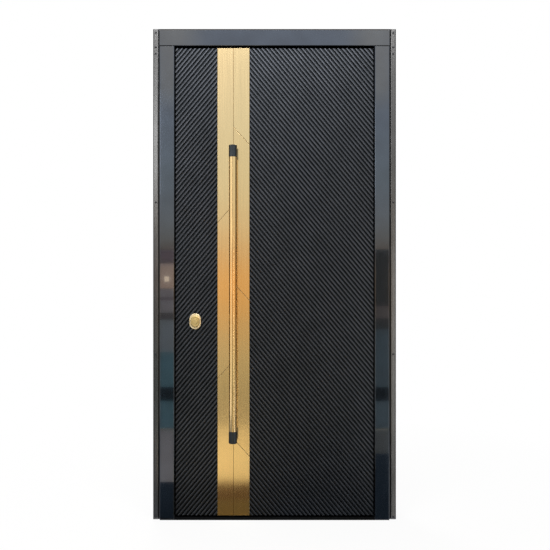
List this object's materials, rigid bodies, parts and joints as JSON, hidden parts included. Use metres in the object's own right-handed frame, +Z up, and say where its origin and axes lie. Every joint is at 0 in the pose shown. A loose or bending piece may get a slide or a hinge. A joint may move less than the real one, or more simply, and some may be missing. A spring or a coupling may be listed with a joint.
{
  "type": "single-leaf steel entrance door with frame",
  "caption": "Single-leaf steel door in a folded frame, with slanted ribbed front panels, a vertical gold strip and a long pull bar; the leaf swings inwards on barrel hinges.",
  "frame": {"origin": "underside of the threshold, in the middle of the opening, in the plane of the wall's outside face", "axes": "+Z up, +Y through the wall to the inside, +X to the right seen from outside, which is the hinge side"},
  "size_m": [1.067, 0.223, 2.153],
  "materials": {
    "frame_steel": "satin powder coat",
    "leaf_steel": "satin powder coat",
    "board": "gloss lacquer on board",
    "rib": "satin lacquer on routed board",
    "gold": "polished",
    "black_trim": "gloss",
    "seal_rubber": "matte",
    "plated_steel": "satin nickel plate",
    "inside_board": "satin lacquer on board"
  },
  "bodies": {
    "frame": {"left_jamb": "frame_steel", "right_jamb": "frame_steel", "head_jamb": "leaf_steel", "threshold": "leaf_steel", "left_architrave": "board", "right_architrave": "board", "head_architrave": "board", "left_inner_trim": "inside_board", "right_inner_trim": "inside_board", "head_inner_trim": "inside_board", "left_seal": "seal_rubber", "right_seal": "seal_rubber", "head_seal": "seal_rubber", "strike_plate": "plated_steel", "lower_hinge_pin": "plated_steel", "middle_hinge_pin": "plated_steel", "upper_hinge_pin": "plated_steel"},
    "leaf": {"leaf_body": "leaf_steel", "left_ribbed_panel": "rib", "right_ribbed_panel": "rib", "inside_panel": "inside_board", "gold_backing": "black_trim", "gold_plate_left_1": "gold", "gold_plate_left_2": "gold", "gold_plate_left_3": "gold", "gold_plate_right_1": "gold", "gold_plate_right_2": "gold", "gold_plate_right_3": "gold", "gold_plate_right_4": "gold", "pull_bar": "gold", "upper_bar_cap": "black_trim", "lower_bar_cap": "black_trim", "cylinder_guard": "gold", "cylinder_boss": "gold", "cylinder_cover": "gold", "lock_faceplate": "plated_steel", "lock_bolts": "plated_steel", "bottom_seal": "seal_rubber", "handle_backplate": "gold", "inside_lever": "gold", "thumb_turn": "gold", "lower_hinge_barrel": "plated_steel", "middle_hinge_barrel": "plated_steel", "upper_hinge_barrel": "plated_steel"}
  },
  "joints": [
    {"name": "leaf_swing", "type": "hinge", "parent": "frame", "child": "leaf", "pos_m": [0.46025, 0.093, 0.249], "axis": [0, 0, -1], "range_deg": [0, 100]}
  ]
}
